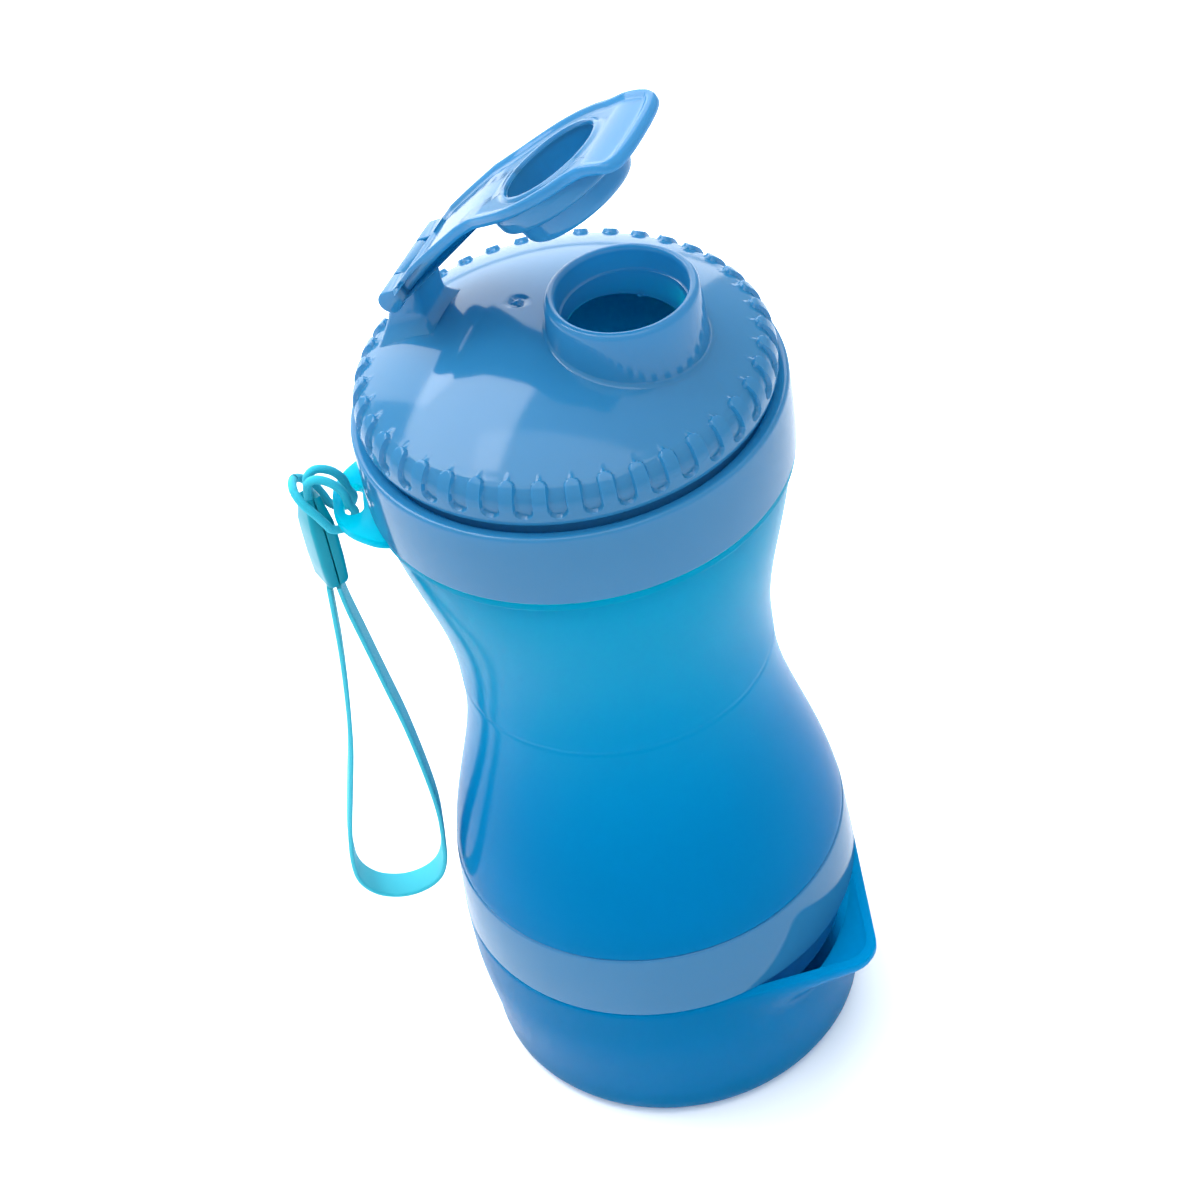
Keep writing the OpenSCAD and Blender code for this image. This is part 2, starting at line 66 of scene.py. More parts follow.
TAB_X, TAB_LEN, TAB_DROP = 49.0, 7.0, 2.5

# ---- Camera ----

CAM_TURN, CAM_DOWN, CAM_PAN, CAM_ROLL = 28.5, 43.24, -0.25, -11.07
CAM_REACH, CAM_HEIGHT = 0.3505, 0.439

cam_data = bpy.data.cameras.new("camera")
cam_data.sensor_width, cam_data.lens = 36.0, 78.1
cam_data.clip_start = 0.01
camera = bpy.data.objects.new("camera", cam_data)
turn = math.radians(CAM_TURN)
camera.location = (CAM_REACH * math.sin(turn), -CAM_REACH * math.cos(turn), CAM_HEIGHT)
aim = Matrix.Rotation(turn, 3, "Z") @ Matrix.Rotation(-math.radians(CAM_PAN), 3, "Z")
aim = aim @ Matrix.Rotation(math.radians(90 - CAM_DOWN), 3, "X")
aim = aim @ Matrix.Rotation(math.radians(CAM_ROLL), 3, "Z")
camera.rotation_euler = aim.to_euler()
scene.collection.objects.link(camera)
scene.camera = camera

# ---- Geometry helpers ----


def clamp(x, low=0.0, high=1.0):
    return min(max(x, low), high)


def smooth(x):
    x = clamp(x)
    return x * x * (3 - 2 * x)


def rounded(points, steps=4):
    """A closed outline whose corners (x, y, radius) are rounded."""
    out = []
    for i, (x, y, rad) in enumerate(points):
        p = Vector((x, y))
        a, b = Vector(points[i - 1][:2]) - p, Vector(points[(i + 1) % len(points)][:2]) - p
        if rad <= 0:
            out.append((x, y))
            continue
        reach = min(rad, a.length * 0.49, b.length * 0.49)
        start, end = p + a.normalized() * reach, p + b.normalized() * reach
        for k in range(steps + 1):
            t = k / steps
            q = start * (1 - t) ** 2 + p * (2 * t * (1 - t)) + end * t * t
            out.append((q.x, q.y))
    return out


def spline(points, n):
    """Smooth curve through points, n steps for each span."""
    pts = [Vector(p) for p in points]
    out = []
    for i in range(len(pts) - 1):
        a, b, c, d = pts[max(i - 1, 0)], pts[i], pts[i + 1], pts[min(i + 2, len(pts) - 1)]
        for k in range(n):
            t = k / n
            out.append(b + (c - a) * t / 2 + (2 * a - 5 * b + 4 * c - d) * t * t / 2
                       + (3 * b - a - 3 * c + d) * t ** 3 / 2)
    return out + [pts[-1]]


def skin(rings, ends=True, loop=False):
    """Vertices and faces of a skin over rings of equal length, with or without end caps."""
    n, m = len(rings[0]), len(rings)
    verts = [tuple(p) for ring in rings for p in ring]
    faces = []
    for i in range(m if loop else m - 1):
        for k in range(n):
            a, b = i * n, ((i + 1) % m) * n
            faces.append((a + k, a + (k + 1) % n, b + (k + 1) % n, b + k))
    if ends and not loop:
        faces += [tuple(range(n))[::-1], tuple(range((m - 1) * n, m * n))]
    return verts, faces


def lathe(profile, steps=192, loop=True, centre=(0.0, 0.0)):
    """Skin of a profile of (radius, z) turned about a vertical axis."""
    turns = [(math.cos(2 * math.pi * k / steps), math.sin(2 * math.pi * k / steps))
             for k in range(steps)]
    return skin([[(centre[0] + r * c, centre[1] + r * s, z) for c, s in turns]
                 for r, z in profile], loop=loop)


def moved(shape, matrix):
    return [tuple(matrix @ Vector(v)) for v in shape[0]], shape[1]


def ridge(r, side, z0, pitch, turns, start=0.0, height=0.85):
    """Thread ridge on a wall of radius r, tapered away at both ends."""
    n = int(48 * turns)
    rings = []
    for i in range(n + 1):
        a = math.radians(start) + 2 * math.pi * i / 48
        z = z0 + pitch * i / 48
        crest = r + side * (height * smooth(min(i, n - i) / 5) + 0.02)
        root = r - side * 0.3
        section = ((root, -0.78), (crest, -0.33), (crest, 0.33), (root, 0.78))
        rings.append([(q * math.cos(a), q * math.sin(a), z + h) for q, h in section])
    return skin(rings)


def make(name, shapes, material, body, replaces=(), sharp=32, uv=None):
    """One object from several (vertices, faces) shapes in millimetres."""
    mesh = bpy.data.meshes.new(name)
    verts, faces = [], []
    for v, f in shapes:
        base = len(verts)
        verts += v
        faces += [tuple(base + i for i in face) for face in f]
    mesh.from_pydata([(x * MM, y * MM, z * MM) for x, y, z in verts], [], faces)
    bm = bmesh.new()
    bm.from_mesh(mesh)
    bmesh.ops.recalc_face_normals(bm, faces=bm.faces)
    bm.to_mesh(mesh)
    bm.free()
    if uv:
        layer = mesh.uv_layers.new(name="along")
        for poly in mesh.polygons:
            for corner, v in zip(poly.loop_indices, poly.vertices):
                layer.data[corner].uv = uv[v]
    mesh.shade_smooth()
    mesh.set_sharp_from_angle(angle=math.radians(sharp))
    mesh.materials.append(material)
    obj = bpy.data.objects.new(name, mesh)
    scene.collection.objects.link(obj)
    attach(obj, body)
    if replaces:
        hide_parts(*replaces)
    return obj


# ---- Materials ----


def new_material(name):
    mat = bpy.data.materials.new(name)
    mat.use_nodes = True
    nodes, links = mat.node_tree.nodes, mat.node_tree.links
    return mat, nodes, links, nodes["Principled BSDF"]


def add_noise(nodes, links, scale, detail=3.0):
    coords = nodes.new("ShaderNodeTexCoord")
    noise = nodes.new("ShaderNodeTexNoise")
    noise.inputs["Scale"].default_value = scale
    noise.inputs["Detail"].default_value = detail
    links.new(coords.outputs["Object"], noise.inputs["Vector"])
    return noise


def add_bump(nodes, links, source, shader, strength, distance):
    bump = nodes.new("ShaderNodeBump")
    bump.inputs["Strength"].default_value = strength
    bump.inputs["Distance"].default_value = distance
    links.new(source, bump.inputs["Height"])
    links.new(bump.outputs["Normal"], shader.inputs["Normal"])


def add_ramp(nodes, links, source, target, stops):
    ramp = nodes.new("ShaderNodeValToRGB")
    ramp.color_ramp.elements[0].position, ramp.color_ramp.elements[0].color = stops[0]
    ramp.color_ramp.elements[1].position, ramp.color_ramp.elements[1].color = stops[1]
    links.new(source, ramp.inputs["Fac"])
    links.new(ramp.outputs["Color"], target)


def add_range(nodes, links, source, target, low, high):
    scale = nodes.new("ShaderNodeMapRange")
    scale.inputs["To Min"].default_value = low
    scale.inputs["To Max"].default_value = high
    links.new(source, scale.inputs["Value"])
    links.new(scale.outputs["Result"], target)


def moulded_plastic(name, dark, light, rough, subsurface=0.0, transmission=0.0, specular=0.5,
                    ior=1.49, tint=(1.0, 1.0, 1.0), metallic=0.0):
    """Glossy moulded plastic: faint flow marks in colour and gloss, and a slight waviness."""
    mat, nodes, links, shader = new_material(name)
    flow = add_noise(nodes, links, 38.0, 4.0)
    add_ramp(nodes, links, flow.outputs["Fac"], shader.inputs["Base Color"],
             [(0.3, (*dark, 1)), (0.7, (*light, 1))])
    grain = add_noise(nodes, links, 240.0, 5.0)
    add_range(nodes, links, grain.outputs["Fac"], shader.inputs["Roughness"],
              rough * 0.8, rough * 1.25)
    add_bump(nodes, links, flow.outputs["Fac"], shader, 0.08, 0.0004)
    shader.inputs["IOR"].default_value = ior
    shader.inputs["Metallic"].default_value = metallic
    shader.inputs["Specular Tint"].default_value = (*tint, 1)
    shader.inputs["Subsurface Weight"].default_value = subsurface
    shader.inputs["Subsurface Radius"].default_value = (0.2, 0.6, 1.0)
    shader.inputs["Subsurface Scale"].default_value = 0.004
    shader.inputs["Transmission Weight"].default_value = transmission
    shader.inputs["Specular IOR Level"].default_value = specular
    return mat


def let_light_through(mat, low, high, share):
    """Mixes in light that passes through the wall, its colour painted paler higher up as light on
    the upper part.
    """
    nodes, links = mat.node_tree.nodes, mat.node_tree.links
    coords, split = nodes.new("ShaderNodeTexCoord"), nodes.new("ShaderNodeSeparateXYZ")
    links.new(coords.outputs["Object"], split.inputs["Vector"])
    height = nodes.new("ShaderNodeMapRange")
    height.inputs["From Min"].default_value = 0.05
    height.inputs["From Max"].default_value = 0.14
    links.new(split.outputs["Z"], height.inputs["Value"])
    through_light_painted_top = nodes.new("ShaderNodeBsdfTranslucent")
    # Painted light: the colour let through runs from low to high with height, paler on top.
    add_ramp(nodes, links, height.outputs["Result"], through_light_painted_top.inputs["Color"],
             [(0.0, (*low, 1)), (1.0, (*high, 1))])
    mix = nodes.new("ShaderNodeMixShader")
    mix.inputs["Fac"].default_value = share
    links.new(nodes["Principled BSDF"].outputs["BSDF"], mix.inputs[1])
    links.new(through_light_painted_top.outputs["BSDF"], mix.inputs[2])
    links.new(mix.outputs["Shader"], nodes["Material Output"].inputs["Surface"])


def woven(name, dark, light, across, along, rough):
    """Textile with its threads along the piece's own length and width."""
    mat, nodes, links, shader = new_material(name)
    coords = nodes.new("ShaderNodeTexCoord")
    split = nodes.new("ShaderNodeMapping")
    split.inputs["Scale"].default_value = (across, along, 1)
    links.new(coords.outputs["UV"], split.inputs["Vector"])
    checks = nodes.new("ShaderNodeTexWave")
    checks.wave_type, checks.bands_direction = "BANDS", "DIAGONAL"
    checks.inputs["Scale"].default_value = 1.0
    checks.inputs["Distortion"].default_value = 0.6
    links.new(split.outputs["Vector"], checks.inputs["Vector"])
    add_ramp(nodes, links, checks.outputs["Fac"], shader.inputs["Base Color"],
             [(0.1, (*dark, 1)), (0.75, (*light, 1))])
    add_bump(nodes, links, checks.outputs["Fac"], shader, 0.5, 0.0002)
    shader.inputs["Roughness"].default_value = rough
    shader.inputs["Sheen Weight"].default_value = 0.04
    return mat


CAP_BLUE = moulded_plastic("light_blue_plastic", (0.028, 0.185, 0.35), (0.032, 0.197, 0.37), 0.10,
                           subsurface=0.1)
let_light_through(CAP_BLUE, (0.01, 0.55, 0.88), (0.01, 0.55, 0.88), 0.35)
SHELL_BLUE = moulded_plastic("clear_blue_plastic", (0.0, 0.25, 0.50), (0.0, 0.27, 0.535), 0.14,
                             subsurface=0.1, transmission=0.2, specular=0.2, ior=1.3,
                             tint=(0.0, 0.55, 1.0))
# The let-through colour here is painted paler higher up, standing in for light on the vessel's
# upper part.
let_light_through(SHELL_BLUE, (0.0, 0.55, 0.80), (0.0, 0.97, 0.93), 0.55)
SEAL = moulded_plastic("silicone_seal", (0.72, 0.78, 0.82), (0.8, 0.85, 0.88), 0.45)
CRIMP = moulded_plastic("crimp_plastic", (0.0, 0.22, 0.29), (0.0, 0.25, 0.32), 0.3, subsurface=0.2,
                        specular=0.15)
PIN = moulded_plastic("pin_steel", (0.5, 0.5, 0.52), (0.62, 0.62, 0.64), 0.3, metallic=1.0)
CORD = woven("braided_cord", (0.0, 0.30, 0.42), (0.01, 0.55, 0.68), 6.0, 5.0, 0.7)
WEB = woven("woven_ribbon", (0.0, 0.36, 0.48), (0.04, 0.58, 0.68), 8.0, 7.0, 0.65)

# ---- Strap: cord hitch through the lug, crimp and ribbon loop ----

LUG_TURN = Matrix.Rotation(math.radians(LUG_ANGLE), 4, "Z")

# Half of the hitch, from its crossing bight to one end in the crimp, as routed in the CAD
HITCH = [(50.3, 0, 150.4), (50, 2, 150), (48.9, 3.6, 148.4), (47.2, 4.2, 146), (46.1, 4, 143.6),
         (45.3, 3.6, 141.7), (43.4, 3, 140.9), (41.5, 2.5, 141.7), (40.7, 2.2, 143.6),
         (41.4, 2.1, 145.4), (41.8, 2, 148), (43.4, 1.8, 150.4), (45.8, 1.4, 151.6),
         (47.5, 1, 150.6), (48, 0.9, 148), (48, 0.9, 145.5), (48, 0.9, 143)]
# Ribbon loop from the crimp down the outer side and back up the inner side
RIBBON = [(48.9, 127), (49.4, 120), (50.2, 110), (51.6, 98), (53.4, 86), (56, 74), (58.4, 63),
          (59.6, 55), (59.4, 48.6), (56.6, 44), (52, 42), (47.4, 42.6), (43.8, 45.2), (41.8, 50),
          (41, 57), (40.6, 64), (41, 74), (42.2, 88), (43.8, 100), (45.4, 112), (46.6, 121),
          (47.1, 127)]


def sweep(path, outline, around=False):
    """Skin of an outline swept along a path, with its texture coordinates.

    The first coordinate is the share of the way around a cord, or mm across a ribbon;
    the second is mm along the path.
    """
    rings, uv, run = [], [], 0.0
    for i, p in enumerate(path):
        t = (path[min(i + 1, len(path) - 1)] - path[max(i - 1, 0)]).normalized()
        guess = Vector((1, 0, 0)) if abs(t.y) > 0.9 else Vector((0, 1, 0))
        u = (guess - t * t.dot(guess)).normalized()
        v = t.cross(u)
        run += (p - path[i - 1]).length if i else 0.0
        rings.append([p + u * a + v * b for a, b in outline])
        uv += [(k / len(outline) if around else a, run) for k, (a, b) in enumerate(outline)]
    return skin(rings), uv


half = spline(HITCH, 5)
cord_route = [Vector((p.x, -p.y, p.z)) for p in half[:0:-1]] + half
ribbon_route = [Vector((p.x, 0, p.y)) for p in spline(RIBBON, 5)]


cord_outline = [(CORD_D / 2 * math.cos(a), CORD_D / 2 * math.sin(a))
                for a in [2 * math.pi * k / 20 for k in range(20)]]
shape, uv = sweep(cord_route, cord_outline, around=True)
cord_piece = make("cord_hitch", [moved(shape, LUG_TURN)], CORD, "strap",
                  ["strap_cord"], 60, uv)
ribbon_outline = rounded([(-RIBBON_W / 2, -RIBBON_T / 2, 0.4), (RIBBON_W / 2, -RIBBON_T / 2, 0.4),
                          (RIBBON_W / 2, RIBBON_T / 2, 0.4), (-RIBBON_W / 2, RIBBON_T / 2, 0.4)], 3)
shape, uv = sweep(ribbon_route, ribbon_outline)
ribbon_piece = make("wrist_ribbon", [moved(shape, LUG_TURN)], WEB, "strap",
                    ["strap_ribbon"], 50, uv)


def crimp_shell(name, side, node):
    """Half of the clamp over the ends of cord and ribbon, narrower towards its top."""
    h = CRIMP_TOP - CRIMP_LOW
    rings = []
    # Share of the height, thickness in mm, share of the full width
    stations = ((0.0, 1.5, 0.86), (0.015, 1.9, 0.94), (0.05, 2.2, 0.99), (0.3, 2.4, 1.0),
                (0.6, 2.4, 1.0), (0.72, 2.35, 0.97), (0.8, 2.1, 0.86), (0.92, 1.75, 0.69),
                (0.985, 1.6, 0.58), (1.0, 1.35, 0.54))
    for t, depth, width in stations:
        w = CRIMP_W / 2 * width
        outline = rounded([(0.15, -w, 0.1), (depth, -w, 0.9), (depth, w, 0.9), (0.15, w, 0.1)])
        rings.append([(side * x, y, CRIMP_LOW + h * t) for x, y in outline])
    place = LUG_TURN @ Matrix.Translation((CRIMP_X, 0, 0)) @ Matrix.Rotation(
        math.radians(CRIMP_TURN), 4, "Z")
    return make(name, [moved(skin(rings), place)], CRIMP, "strap", [node], 50)


crimps = [crimp_shell("crimp_outer", 1, "crimp_shell_outer"),
          crimp_shell("crimp_inner", -1, "crimp_shell_inner")]

# ---- Bowl ----


def lip_radius(angle):
    """Radius of the pouring lip's outline at an angle from its tip."""
    centre = LIP_REACH - LIP_NOSE
    flank = math.acos((BOWL_R - LIP_NOSE) / centre)
    nose = math.atan2(LIP_NOSE * math.sin(flank), centre + LIP_NOSE * math.cos(flank))
    a = abs(angle)
    if a >= flank:
        return BOWL_R
    if a >= nose:
        return BOWL_R / math.cos(flank - a)
    return centre * math.cos(a) + math.sqrt(LIP_NOSE ** 2 - (centre * math.sin(a)) ** 2)


def bowl_r(z):
    """Radius of the bowl's outside above its rounded foot."""
    return FOOT_R + BOWL_SWELL * smooth((z - 4) / 22) ** 0.9


def bowl_shape():
    """Bowl turned about its axis, its rim drawn out to the pouring lip."""
    steps = 256
    outer = [(0.02, 0.0), (30, 0.0), (34.4, 0.0), (36.2, 0.45), (37.5, 1.4), (38.2, 2.7),
             (FOOT_R, 4.2)]
    outer += [(bowl_r(z), z) for z in range(6, 35)]
    outer += [(BOWL_R, 35.0), (BOWL_R - 0.12, 35.35), (BOWL_R - 0.45, BOWL_H)]
    inner = [(BOWL_R - WALL + 0.4, BOWL_H), (BOWL_R - WALL + 0.1, 35.35), (BOWL_R - WALL, 35.0)]
    inner += [(bowl_r(z) - WALL, z) for z in range(34, 7, -1)]
    inner += [(35.9, 5.6), (34.6, 3.6), (32.5, 2.5), (30, BOWL_FLOOR), (0.02, BOWL_FLOOR)]
    rings = []
    for k, (r, z) in enumerate(outer + inner):
        lift = smooth((z - LIP_START) / 12.0) ** 1.15
        if k >= len(outer):
            lift *= 0.97
        ring = []
        for i in range(steps):
            a = 2 * math.pi * i / steps
            off = (a - math.radians(LIP_ANGLE) + math.pi) % (2 * math.pi) - math.pi
            q = r + (lip_radius(off) - BOWL_R) * lift
            ring.append((q * math.cos(a), q * math.sin(a), z))
        rings.append(ring)
    return skin(rings)


make("bowl_shell", [bowl_shape(), ridge(BOWL_R - WALL, -1, 29.0, PITCH, 0.72, LIP_ANGLE + 50)],
     SHELL_BLUE, "base_bowl", ["bowl"])

# ---- Divider band ----

band_profile = [(0.02, DISC_Z)] + rounded([
    (PLUG_R - WALL, DISC_Z - 0.6, 0.6), (PLUG_R - WALL, PLUG_Z, 0.4), (PLUG_R, PLUG_Z, 0.6),
    (PLUG_R, 33.3, 0), (35.7, 33.3, 0.1), (35.7, 35.6, 0.1), (PLUG_R, 35.6, 0), (PLUG_R, BAND_Z, 0),
    (BOWL_R, BAND_Z, 0.35), (BAND_TOP_R, BAND_TOP, 0.55), (SOCKET_R, BAND_TOP, 0.4),
    (SOCKET_R, DISC_Z + DISC_T, 0.8)]) + [(0.02, DISC_Z + DISC_T)]
make("band_shell", [lathe(band_profile, loop=False),
                    ridge(PLUG_R, 1, 27.65, PITCH, 0.7, LIP_ANGLE + 50),
                    ridge(SOCKET_R, -1, 43.2, PITCH, 0.9)],
     CAP_BLUE, "band", ["divider_band"])

# ---- Vessel ----


def half_wave(d, flat, span):
    """0 to 1 on a half cosine wave of a span, after a flat stretch."""
    return (1 - math.cos(math.pi * clamp((d - flat) / span))) / 2


def vessel_r(z):
    """Radius of the hourglass wall's outside."""
    if z > WAIST_Z:
        return WAIST_R + UPPER_SWELL * half_wave(z - WAIST_Z, 3.0, 50.0)
    return WAIST_R + LOWER_SWELL * half_wave(WAIST_Z - z, 2.5, 54.0)


def vessel_profile():
    """Half section of the vessel: foot, wall with the fine line at its waist, neck, inside."""
    foot = rounded([(SPIGOT_R - WALL, SPIGOT_Z, 0.5), (SPIGOT_R, SPIGOT_Z, 0.5),
                    (SPIGOT_R, 48.9, 0), (SPIGOT_R - 1.2, 48.9, 0.1),
                    (SPIGOT_R - 1.2, VESSEL_Z - 0.2, 0.1),
                    (vessel_r(VESSEL_Z) - 0.05, VESSEL_Z, 0.45), (vessel_r(53), 53, 0)])[:-1]
    wall = [(vessel_r(z) - 0.14 * math.exp(-((z - WAIST_Z) / 0.22) ** 2), z)
            for z in [53 + 0.5 * k for k in range(180)]]
    neck = rounded([(vessel_r(142.6), 142.6, 0.3), (FLANGE_R, 143.3, 0.3), (FLANGE_R, 144.85, 0.3),
                    (NECK_R, 144.85, 0.2), (NECK_R, NECK_TOP, 0.5), (NECK_IN, NECK_TOP, 0.5),
                    (NECK_IN, 147, 0.5), (vessel_r(141) - WALL, 141, 2)])
    inner = [(min(vessel_r(z) - WALL, SPIGOT_R - WALL + 0.6), z) for z in range(139, 56, -2)]
    return foot + wall + neck + inner + [(SPIGOT_R - WALL, 53)]


def slot_point(angle, grow):
    """Point on the slot's edge in a direction from its middle."""
    r, half_len = SLOT_W / 2 + grow, (SLOT_LEN - SLOT_W) / 2
    c, s = math.cos(angle), math.sin(angle)
    if abs(c) > 1e-6 and abs(s / c) * r <= half_len:
        d = r / abs(c)
    else:
        d = half_len * abs(s) + math.sqrt(max(r * r - (half_len * c) ** 2, 0))
    return SLOT_X + d * c, d * s


def resample(points, count):
    """Closed outline with count points at equal steps along it."""
    pts = [Vector(p) for p in points]
    spans = [(pts[(i + 1) % len(pts)] - p).length for i, p in enumerate(pts)]
    total, out, i, used = sum(spans), [], 0, 0.0
    for k in range(count):
        want = total * k / count
        while used + spans[i] < want:
            used += spans[i]
            i += 1
        t = (want - used) / max(spans[i], 1e-9)
        q = pts[i].lerp(pts[(i + 1) % len(pts)], t)
        out.append((q.x, q.y))
    return out


def lug_shape():
    """Rounded tab with a slot for the cord, in the lug's own direction."""
    count = 72
    edge = rounded([(34.5, -13.4, 1), (37.5, -12.4, 3), (42, -8.6, 4), (44.4, -4, 3), (44.4, 4, 3),
                    (42, 8.6, 4), (37.5, 12.4, 3), (34.5, 13.4, 1)], 6)
    edge = resample(edge, count)

    def hole(grow):
        return [slot_point(math.atan2(y, x - SLOT_X), grow) for x, y in edge]

    def inset(d):
        return [(SLOT_X + (x - SLOT_X) * (1 - d / 8), y * (1 - d / 8)) for x, y in edge]

    low = LUG_TOP - LUG_T
    stack = [(inset(0.7), low), (inset(0.2), low + 0.25), (edge, low + 0.8), (edge, LUG_TOP - 0.8),
             (inset(0.2), LUG_TOP - 0.25), (inset(0.7), LUG_TOP), (hole(0.6), LUG_TOP),
             (hole(0.15), LUG_TOP - 0.2), (hole(0), LUG_TOP - 0.6), (hole(0), low + 0.6),
             (hole(0.15), low + 0.2), (hole(0.6), low)]
    return skin([[(x, y, z) for x, y in ring] for ring, z in stack], loop=True)


make("vessel_shell", [lathe(vessel_profile(), 256), moved(lug_shape(), LUG_TURN),
                      ridge(SPIGOT_R, 1, 41.85, PITCH, 0.75),
                      ridge(NECK_R, 1, 154.0, LID_PITCH, 1.7)],
     SHELL_BLUE, "flask", ["vessel"])

collar_profile = rounded([
    (NECK_R + 0.15, COLLAR_Z, 0), (COLLAR_R - 0.1, COLLAR_Z, 0.4), (COLLAR_R, COLLAR_Z + 7, 0),
    (COLLAR_R - 0.1, COLLAR_Z + COLLAR_H, 1.5), (COLLAR_IN + 1.0, COLLAR_Z + COLLAR_H - 0.5, 0.5),
    (COLLAR_IN, COLLAR_Z + COLLAR_H - 1.6, 0.5), (COLLAR_IN, COLLAR_Z + 4, 0.3),
    (NECK_R + 0.15, COLLAR_Z + 4, 0)], 6)
make("collar_shell", [lathe(collar_profile, 256)], CAP_BLUE, "flask",
     ["collar_ring"])

# ---- Lid ----


def dome_at(r):
    """Height of the dome's outside at a distance from the bottle's axis."""
    return DOME_Z - DOME_RADIUS + math.sqrt(DOME_RADIUS ** 2 - r * r)


def lid_face():
    """Outer outline from the edge to the axis: (r, z, normal r, normal z, run along it)."""
    corner = LID_R - LID_CORNER
    touch = math.radians(27)
    touch_r = corner + LID_CORNER * math.sin(touch)
    corner_z = dome_at(touch_r) - LID_CORNER * math.cos(touch)
    pts = [(LID_R - 0.5, LID_Z, -0.2, -1.0), (LID_R - 0.08, LID_Z + 0.08, 0.7, -0.7)]
    pts += [(LID_R, LID_Z + 0.5 + (corner_z - LID_Z - 0.5) * k / 10, 1.0, 0.0)
            for k in range(10)]
    for k in range(25):
        a = (math.pi / 2 - touch) * k / 24
        pts.append((corner + LID_CORNER * math.cos(a), corner_z + LID_CORNER * math.sin(a),
                    math.cos(a), math.sin(a)))
    for k in range(1, 46):
        r = touch_r * (1 - k / 45) + 0.02
        pts.append((r, dome_at(r), r / DOME_RADIUS, math.sqrt(1 - (r / DOME_RADIUS) ** 2)))
    out, run = [], 0.0
    for i, p in enumerate(pts):
        run += math.dist(p[:2], pts[i - 1][:2]) if i else 0.0
        out.append((*p, run))
    return out


def rib_height(angle, r, run, top):
    """0 to 1: how far the grip ribs and the lower ring stand at a place on the lid's face."""
    pitch = 2 * math.pi * r / RIBS
    u = ((angle + math.radians(2.2)) * RIBS / (2 * math.pi) + 0.5) % 1 - 0.5
    across, soft = abs(u) * pitch, 0.26
    end = top - RIB_W / 2
    rib = RIB_W / 2 - math.hypot(across, max(run - end, 0.0))
    pocket = pitch / 2 - RIB_W / 2
    floor = 1.5 + pocket
    ring = -9.0
    if run < floor:
        ring = math.hypot(pitch / 2 - across, floor - run) - pocket
    return smooth(max(rib, ring) / soft + 0.5)


def lid_shape():
    """Dome with ribs, the small round mark of its moulding gate, skirt and hole for the spout."""
    steps = RIBS * 24
    angles = [2 * math.pi * k / steps for k in range(steps)]
    face = lid_face()
    top = next(p[4] for p in face if p[0] < 33.3)
    rings = []
    for r, z, nr, nz, run in face:
        ring = []
        for a in angles:
            h = RIB_PROUD * rib_height(a, r, run, top) if run < top + 1 else 0.0
            gate = math.hypot(r * math.cos(a) - GATE_X, r * math.sin(a) - GATE_Y)
            if gate < GATE_R:
                h -= GATE_DEPTH * smooth((GATE_R - gate) / 0.8) - 0.6 * smooth((0.9 - gate) / 0.5)
            ring.append(((r + nr * h) * math.cos(a), (r + nr * h) * math.sin(a), z + nz * h))
        rings.append(ring)
    inner = [(0.02, dome_at(0) - LID_WALL)]
    inner += [(r, dome_at(r) - LID_WALL) for r in (8, 15, 21, 26, 29)]
    inner += [(29, NECK_TOP + 1.6), (SKIRT_IN, NECK_TOP + 1.6), (SKIRT_IN, SKIRT_Z + 0.4),
              (SKIRT_IN + 0.4, SKIRT_Z), (SKIRT_R - 0.4, SKIRT_Z), (SKIRT_R, SKIRT_Z + 0.4),
              (SKIRT_R, LID_Z)]
    for r, z in inner:
        rings.append([(r * math.cos(a), r * math.sin(a), z) for a in angles])
    verts, faces = skin(rings, loop=True)
    keep = []
    for f in faces:
        c = [sum(verts[i][k] for i in f) / len(f) for k in range(3)]
        if not (c[2] > 168 and math.hypot(c[0] - SPOUT_X, c[1]) < SPOUT_CUT):
            keep.append(f)
    return verts, keep


def over_dome(q, angle, up):
    """Point at a distance from the spout's axis, at a height over the dome."""
    x, y = SPOUT_X + q * math.cos(angle), q * math.sin(angle)
    return x, y, dome_at(math.hypot(x, y)) + up


def spout_shape():
    """Spout with a fillet on the dome outside, and a seat and a bore inside."""
    steps = 160
    angles = [2 * math.pi * i / steps for i in range(steps)]

    def on_dome(q, up):
        return [over_dome(q, a, up) for a in angles]

    rings = []
    for k in range(9):
        a = math.radians(90 * k / 8)
        rings.append(on_dome(SPOUT_ROOT + SPOUT_FILLET * (1 - math.sin(a)),
                             SPOUT_FILLET * (1 - math.cos(a)) - 0.03))
    low = [p[2] for p in rings[-1]]
    for t, dz in ((0.35, 0.0), (0.7, 0.0), (1.0, -1.2)):
        q = SPOUT_ROOT + (SPOUT_R - SPOUT_ROOT) * t
        rings.append([(SPOUT_X + q * math.cos(a), q * math.sin(a), z + (SPOUT_Z + dz - z) * t)
                      for a, z in zip(angles, low)])
    rim = [(SPOUT_R - 0.08, -0.7), (SPOUT_R - 0.3, -0.3), (SPOUT_R - 0.65, -0.06),
           (SPOUT_R - 1.0, 0.0), (SPOUT_BORE + 0.6, -0.04), (SPOUT_BORE + 0.25, -0.2),
           (SPOUT_BORE + 0.05, -0.55), (SPOUT_BORE, -1.0), (SPOUT_BORE, -4.2),
           (SPOUT_BORE - 0.1, -4.35), (SPOUT_BORE - 0.45, -4.5), (SPOUT_BORE - 0.5, -5.0),
           (SPOUT_BORE - 0.5, -7.6), (SPOUT_BORE - 0.3, -8.2)]
    for q, dz in rim:
        rings.append([(SPOUT_X + q * math.cos(a), q * math.sin(a), SPOUT_Z + dz)
                      for a in angles])
    rings.append(on_dome(SPOUT_BORE - 0.3, -LID_WALL))
    rings.append(on_dome(SPOUT_ROOT - 0.2, -LID_WALL - 0.02))
    return skin(rings, ends=False)


